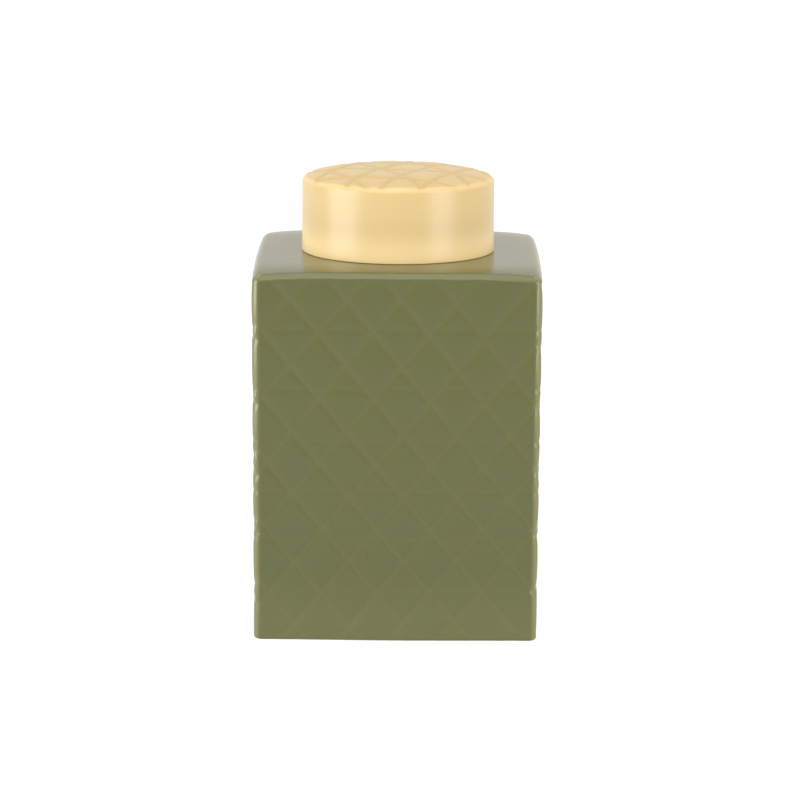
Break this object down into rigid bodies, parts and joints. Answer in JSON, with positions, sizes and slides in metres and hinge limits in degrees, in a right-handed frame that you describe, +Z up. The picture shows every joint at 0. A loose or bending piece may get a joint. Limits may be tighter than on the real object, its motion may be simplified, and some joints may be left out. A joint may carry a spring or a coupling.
{
  "type": "ceramic jar",
  "caption": "Square glazed ceramic canister with bowed quilted sides, a round neck with a seal band and a slip-over domed cap lid that lifts off.",
  "frame": {"origin": "middle of the square foot, on the surface that the jar stands on", "axes": "+Z up along the axis of the neck and the lid, -Y out of the front face, +X to the right of someone who looks at the front"},
  "size_m": [0.12, 0.12, 0.1893],
  "materials": {
    "green_glaze": "satin olive green glaze over slip-cast earthenware",
    "yellow_glaze": "satin pale yellow glaze over slip-cast earthenware",
    "clear_silicone": "milky translucent silicone"
  },
  "bodies": {
    "jar": {"jar_body": "green_glaze", "seal_band": "clear_silicone"},
    "cap": {"lid": "yellow_glaze"}
  },
  "joints": [
    {"name": "lid_lift", "type": "slide", "parent": "jar", "child": "cap", "axis": [0, 0, 1], "range_m": [0, 0.06]}
  ]
}
